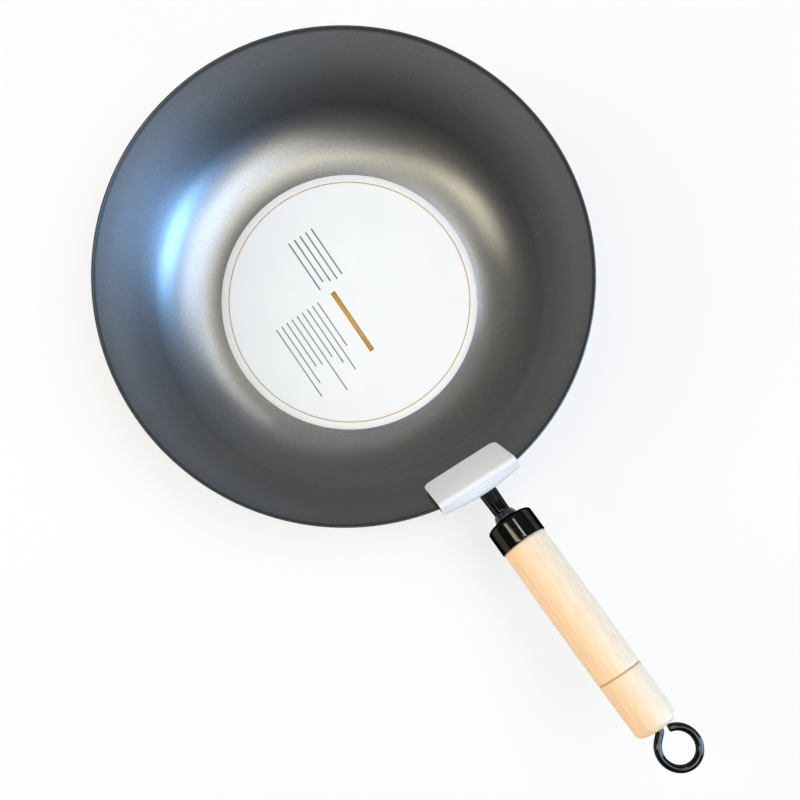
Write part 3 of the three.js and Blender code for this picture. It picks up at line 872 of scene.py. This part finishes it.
guard_front = half_wall + guard_pocket + guard_wall
guard_crown = half_wall + seat_gap + guard_wall
skirt_out = half_wall + seat_gap + skirt_thickness
plate_slope = rim_slope - guard_drop / (2 * wall_radius)
plate_up = Vector((math.cos(plate_slope), math.sin(plate_slope)))


# A point of the guard's section, measured along the chord of the wall that its flat plate lies on.
def plate_point(drop, out):
    return rim_centre - drop * plate_up + out * slope_out(plate_slope)


# The outer skin in section, from the plate's foot over the fold, the crown and the shoulder to the skirt:
# how far down the wall, how far out, and how much of the rim's curve is followed there.
foot_rows = 8
plate_rows = 18
fold_rows = 6
crown_rows = 8
shoulder_rows = 10
skirt_rows = 8
guard_rows = []
for lift in quarter_turn(foot_rows):
    guard_rows.append((guard_drop - guard_corner * (1 - math.sin(lift)), -guard_front, 0.0))
guard_rows.reverse()
plate_start = guard_drop - guard_corner
plate_end = guard_fold - guard_crown
for i in range(1, plate_rows + 1):
    share_up = i / plate_rows
    guard_rows.append((plate_start + (plate_end - plate_start) * share_up, -guard_front, 0.0))
crown_start = guard_fold - guard_front
crown_end = skirt_out - skirt_thickness
fold_centre = Vector((plate_end, crown_start))
for point in arc_points(fold_centre, guard_fold, -math.pi / 2, -math.pi, fold_rows)[1:]:
    guard_rows.append((point.x, point.y, 0.0))
for i in range(1, crown_rows + 1):
    share_over = i / crown_rows
    guard_rows.append((-guard_crown, crown_start + (crown_end - crown_start) * share_over, share_over))
skirt_start = skirt_thickness - guard_crown
shoulder_centre = Vector((skirt_start, crown_end))
for point in arc_points(shoulder_centre, skirt_thickness, math.pi, math.pi / 2, shoulder_rows)[1:]:
    guard_rows.append((point.x, point.y, 1.0))
for i in range(1, skirt_rows + 1):
    guard_rows.append((skirt_start + (skirt_drop - skirt_start) * i / skirt_rows, skirt_out, 1.0))


def guard_half_width(drop):
    if drop <= 0:
        return guard_half
    if drop <= plate_start:
        return guard_half + (guard_foot_half - guard_half) * drop / plate_start
    below = (drop - guard_drop + guard_corner) / guard_corner
    return guard_foot_half - guard_corner * (1 - math.sqrt(max(0.0, 1 - below * below)))


guard_points = []
for drop, out, follows in guard_rows:
    point = plate_point(drop, out)
    half = guard_half_width(drop if follows == 0 else 0.0)
    for i in range(guard_columns + 1):
        side = half * (2 * i / guard_columns - 1)
        sag = follows * (math.sqrt(rim_radius ** 2 - side ** 2) - rim_radius)
        guard_points.append((point.x + sag, side, point.y))
guard_faces = []
for r in range(len(guard_rows) - 1):
    for i in range(guard_columns):
        a = r * (guard_columns + 1) + i
        guard_faces.append((a, a + 1, a + guard_columns + 2, a + guard_columns + 1))
guard_skin = bpy.data.meshes.new("guard_skin")
guard_skin.from_pydata(guard_points, [], guard_faces)
guard_skin.transform(Matrix.Rotation(guard_turn, 4, "Z"))

plastic, tree, shader, place = new_finish("white_plastic")
mould = speckle(tree, place, 1800.0, 2.0)
tint = speckle(tree, place, 55.0, 3.0)
white = ramp(tree, tint, [(0.3, (0.790, 0.800, 0.825)), (0.7, (0.840, 0.845, 0.860))])
coloured(tree, shader, white, rescaled(tree, tint, 0.34, 0.46))
shader.inputs["Subsurface Weight"].default_value = 0.08
shader.inputs["Subsurface Scale"].default_value = 0.002
bumped(tree, shader, mould, 0.06, 0.0002)

guard_skin.materials.append(plastic)
guard_form = placed_object("guard_form", guard_skin)
walled = guard_form.modifiers.new("wall", "SOLIDIFY")
walled.thickness = guard_wall
walled.offset = -1.0
walled.use_even_offset = True
rounded = guard_form.modifiers.new("edges", "BEVEL")
rounded.width = guard_edge
rounded.segments = guard_edge_segments
rounded.limit_method = "ANGLE"
rounded.angle_limit = guard_sharpest
graph = bpy.context.evaluated_depsgraph_get()
guard_mesh = bpy.data.meshes.new_from_object(guard_form.evaluated_get(graph))
bpy.data.objects.remove(guard_form)
guard_mesh.name = "rim_clip"
face_outwards(guard_mesh)
guard = placed_object("rim_clip", guard_mesh)
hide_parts("rim_guard")
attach(guard, "guard")

# Card: a disc die-cut from white coated board that lies loose on the floor of the bowl when it is sold.
# It just fills the flat of the floor. Its face carries ruled bars in a thin ring as a stand-in print.
card_radius = 0.087
card_thickness = 0.0006
card_edge = 0.00012
card_bottom = wall_thickness + seat_gap
card_segments = 200
card_facet = 0.006

board, tree, shader, place = new_finish("coated_board")
fibres = speckle(tree, place, 700.0, 4.0)
mottle = speckle(tree, place, 30.0, 3.0)
paper = ramp(tree, mottle, [(0.3, (0.905, 0.905, 0.900)), (0.7, (0.930, 0.930, 0.925))])
coloured(tree, shader, paper, rescaled(tree, fibres, 0.42, 0.58))
bumped(tree, shader, fibres, 0.05, 0.0001)

card_section = [
    Vector((0, 0)),
    Vector((card_radius - card_edge, 0)),
    Vector((card_radius, card_edge)),
    Vector((card_radius, card_thickness - card_edge)),
    Vector((card_radius - card_edge, card_thickness)),
    Vector((0, card_thickness)),
]
card = turned_piece("card_disc", divided(card_section, card_facet), card_segments, board)
card.data.transform(Matrix.Translation((0, 0, card_bottom)))
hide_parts("card_insert")
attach(card, "card")

# The print is a row of bars on a line of points, each as long as a seeded random number makes it.
print_lift = 0.00002
ink_thickness = 0.00003
ink_grey = (0.22, 0.22, 0.23)
ink_ochre = (0.58, 0.33, 0.07)
ink_dense = 0.8
ink_thin = 1.35


def ink_finish(name, colour):
    finish, tree, shader, place = new_finish(name)
    screen = speckle(tree, place, 1600.0, 2.0)
    dense = tuple(ink_dense * part for part in colour)
    thin = tuple(min(1.0, ink_thin * part) for part in colour)
    inked = ramp(tree, screen, [(0.35, dense), (0.65, thin)])
    coloured(tree, shader, inked, rescaled(tree, screen, 0.45, 0.6))
    return finish


ruled, socket = shape_tree("ruled_bars", {
    "Count": "NodeSocketInt", "Pitch": "NodeSocketFloat", "Shortest": "NodeSocketFloat",
    "Longest": "NodeSocketFloat", "Bar Width": "NodeSocketFloat", "Seed": "NodeSocketInt",
})
spacing = add_node(ruled, "ShaderNodeCombineXYZ", {"Y": socket["Pitch"]})
line = add_node(ruled, "GeometryNodeMeshLine", {"Count": socket["Count"], "Offset": spacing.outputs[0]})
length = add_node(
    ruled, "FunctionNodeRandomValue",
    {2: socket["Shortest"], 3: socket["Longest"], "Seed": socket["Seed"]}, data_type="FLOAT",
)
bar = add_node(ruled, "GeometryNodeMeshCube", {"Size": (1.0, 1.0, ink_thickness)})
flush = add_node(
    ruled, "GeometryNodeTransform", {"Geometry": bar.outputs[0], "Translation": (0.5, 0.0, 0.0)},
)
size = add_node(ruled, "ShaderNodeCombineXYZ", {"X": length.outputs[1], "Y": socket["Bar Width"], "Z": 1.0})
bars = add_node(
    ruled, "GeometryNodeInstanceOnPoints",
    {"Points": line.outputs[0], "Instance": flush.outputs[0], "Scale": size.outputs[0]},
)
end_tree(ruled, bars.outputs[0], socket["Finish"])

grey_ink = ink_finish("grey_ink", ink_grey)
ochre_ink = ink_finish("ochre_ink", ink_ochre)
ink_height = card_bottom + card_thickness + print_lift
ring_radius = 0.0815
ring_width = 0.0007
ring_section = [
    Vector((ring_radius, 0)),
    Vector((ring_radius + ring_width, 0)),
    Vector((ring_radius + ring_width, ink_thickness)),
    Vector((ring_radius, ink_thickness)),
    Vector((ring_radius, 0)),
]
printed_ring = turned_piece("printed_ring", ring_section, card_segments, ochre_ink)
printed_ring.data.transform(Matrix.Translation((0, 0, ink_height - ink_thickness / 2)))
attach(printed_ring, "card")
bar_blocks = [
    ("fine_bars", 9, 0.0042, 0.034, 0.062, 0.0008, 7, (-0.012, -0.052), grey_ink),
    ("short_bars", 5, 0.0046, 0.022, 0.040, 0.0010, 3, (-0.056, -0.012), grey_ink),
    ("heading_bar", 1, 0.004, 0.048, 0.048, 0.0034, 1, (-0.012, -0.006), ochre_ink),
]
for label, bar_count, pitch, shortest, longest, width, seed, corner_at, ink in bar_blocks:
    values = {
        "Count": bar_count, "Pitch": pitch, "Shortest": shortest, "Longest": longest,
        "Bar Width": width, "Seed": seed, "Finish": ink,
    }
    block = grown(label, line_mesh(label + "_start", [(0, 0, 0)]), ruled, values)
    block.data.transform(Matrix.Translation((corner_at[0], corner_at[1], ink_height)))
    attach(block, "card")

# Floor, soft boxes and camera: a pale floor under a dim dome, a blue window low down whose shine and whose
# light are two lamps, a window above it, four small boxes, a fill card and a dark flag. The camera looks
# nearly straight down.
floor_size = 5.0
floor_drop = 0.0002
floor_white = (0.90, 0.90, 0.90, 1.0)
near_share = 0.70
fade_start = 0.5
fade_end = 1.6


# A flat sheet at a height, between two sides in X and two in Y.
def flat_sheet(name, height, x_sides, y_sides):
    corners = [(x_sides[i], y_sides[j], height) for i, j in ((0, 0), (1, 0), (1, 1), (0, 1))]
    mesh = bpy.data.meshes.new(name)
    mesh.from_pydata(corners, [], [(0, 1, 2, 3)])
    return mesh


floor_sides = (-floor_size, floor_size)
floor_mesh = flat_sheet("floor", -floor_drop, floor_sides, floor_sides)
floor = placed_object("floor", floor_mesh)
floor_finish = bpy.data.materials.new("pale_floor")
floor_finish.use_nodes = True
tree = floor_finish.node_tree
tree.nodes.remove(tree.nodes["Principled BSDF"])
matt = add_node(tree, "ShaderNodeBsdfDiffuse", {"Color": floor_white})
plain_white = add_node(tree, "ShaderNodeEmission", {"Color": (1.0, 1.0, 1.0, 1.0), "Strength": 1.0})
ray = add_node(tree, "ShaderNodeLightPath").outputs
seen = worked_out(tree, "MAXIMUM", ray["Is Camera Ray"], ray["Is Glossy Ray"])
seen_through = worked_out(tree, "MAXIMUM", seen, ray["Is Transmission Ray"])
spot = add_node(tree, "ShaderNodeNewGeometry").outputs["Position"]
far_off = add_node(tree, "ShaderNodeVectorMath", {0: spot}, operation="LENGTH").outputs["Value"]
white_share = rescaled(tree, far_off, near_share, 1.0, fade_start, fade_end)
whitened = worked_out(tree, "MULTIPLY", seen_through, white_share)
mixed = add_node(
    tree, "ShaderNodeMixShader", {0: whitened, 1: matt.outputs[0], 2: plain_white.outputs[0]},
)
tree.links.new(mixed.outputs[0], tree.nodes["Material Output"].inputs["Surface"])
floor_mesh.materials.append(floor_finish)

dome_grey = (0.117, 0.113, 0.108)
wall_cream = (0.09, 0.087, 0.08)
wall_direction = (-0.62, 0.48, 0.62)

world = bpy.data.worlds.new("studio_dome")
bpy.context.scene.world = world
world.use_nodes = True
tree = world.node_tree
direction = add_node(tree, "ShaderNodeTexCoord").outputs["Generated"]
height = add_node(tree, "ShaderNodeSeparateXYZ", {"Vector": direction}).outputs["Z"]
dome = ramp(tree, height, [(0.10, (1.0, 1.0, 1.0)), (0.20, dome_grey), (1.0, dome_grey)])
towards_wall = add_node(
    tree, "ShaderNodeVectorMath", {0: direction, 1: wall_direction}, operation="DOT_PRODUCT",
).outputs["Value"]
pale_wall = ramp(tree, towards_wall, [(0.45, (0.0, 0.0, 0.0)), (1.0, wall_cream)])
tree.links.new(blended(tree, 1.0, dome, pale_wall, "ADD"), tree.nodes["Background"].inputs["Color"])


# A box that faces the bowl, placed by its bearing from the handle and its elevation, both in degrees.
def soft_box(name, bearing, elevation, distance, width, height, watts, colour):
    lamp = bpy.data.lights.new(name, "AREA")
    lamp.shape = "RECTANGLE"
    lamp.size = width
    lamp.size_y = height
    lamp.energy = watts
    lamp.color = colour
    box = bpy.data.objects.new(name, lamp)
    bpy.context.scene.collection.objects.link(box)
    across = math.cos(math.radians(elevation))
    towards = Vector((
        across * math.cos(math.radians(bearing)),
        across * math.sin(math.radians(bearing)),
        math.sin(math.radians(elevation)),
    ))
    box.location = distance * towards
    box.rotation_mode = "QUATERNION"
    box.rotation_quaternion = (-towards).to_track_quat("-Z", "Y")
    box.visible_camera = False
    return box


window_shine = soft_box("window_shine", 50, 21, 1.6, 0.76, 0.90, 45.0, (0.26, 0.53, 1.0))
window_shine.visible_diffuse = False
window_light = soft_box("window_light", 35, 18, 1.6, 0.76, 0.90, 5.0, (0.30, 0.60, 1.0))
window_light.visible_glossy = False
soft_box("window_high", 60, 63, 1.6, 0.90, 0.84, 12.5, (0.67, 0.80, 1.0))
soft_box("overhead_box", 60, 86, 1.7, 0.40, 0.40, 2.6, (1.0, 0.91, 0.66))
soft_box("warm_box", 246, 65, 1.5, 0.20, 0.62, 3.0, (1.0, 0.93, 0.72))
soft_box("far_box", 9, 62, 1.5, 0.48, 0.55, 2.8, (1.0, 0.90, 0.72))
soft_box("spark_box", 127, 70, 1.5, 0.13, 0.13, 1.0, (1.0, 0.98, 0.92))
fill_card = soft_box("fill_card", 238, 32, 1.5, 1.3, 0.7, 12.0, (1.0, 0.96, 0.92))
fill_card.visible_glossy = False

# A dark flag above the handle's side of the bowl keeps the overhead boxes out of the coating beside the
# card there. Only mirrored rays meet it, so it throws no shadow and dims nothing that is matt.
flag_height = 0.15
flag_along = (0.0, 0.10)
flag_across = (-0.08, 0.10)
flag_black = (0.03, 0.03, 0.03, 1.0)

flag_mesh = flat_sheet("dark_flag", flag_height, flag_along, flag_across)
flag_finish, tree, shader, place = new_finish("dark_flag")
shader.inputs["Base Color"].default_value = flag_black
shader.inputs["Roughness"].default_value = 0.9
flag_mesh.materials.append(flag_finish)
flag = placed_object("dark_flag", flag_mesh)
flag.visible_camera = False
flag.visible_diffuse = False
flag.visible_transmission = False
flag.visible_shadow = False

camera_data = bpy.data.cameras.new("camera")
camera_data.sensor_width = 36.0
camera_data.lens = 37.125
camera_data.shift_x = -0.0042
camera_data.shift_y = 0.125
camera_data.clip_start = 0.01
camera = bpy.data.objects.new("camera", camera_data)
bpy.context.scene.collection.objects.link(camera)
camera_right = Vector((0.56463, 0.82513, 0.01879)).normalized()
camera_back = Vector((0.00075, -0.02328, 0.99973)).normalized()
camera_up = camera_back.cross(camera_right).normalized()
camera_right = camera_up.cross(camera_back)
turned = Matrix((camera_right, camera_up, camera_back)).transposed().to_4x4()
camera_place = Vector((0.13229, -0.05909, 0.5627))
camera.matrix_world = Matrix.Translation(camera_place) @ turned
bpy.context.scene.camera = camera
bpy.context.scene.view_settings.view_transform = "Standard"
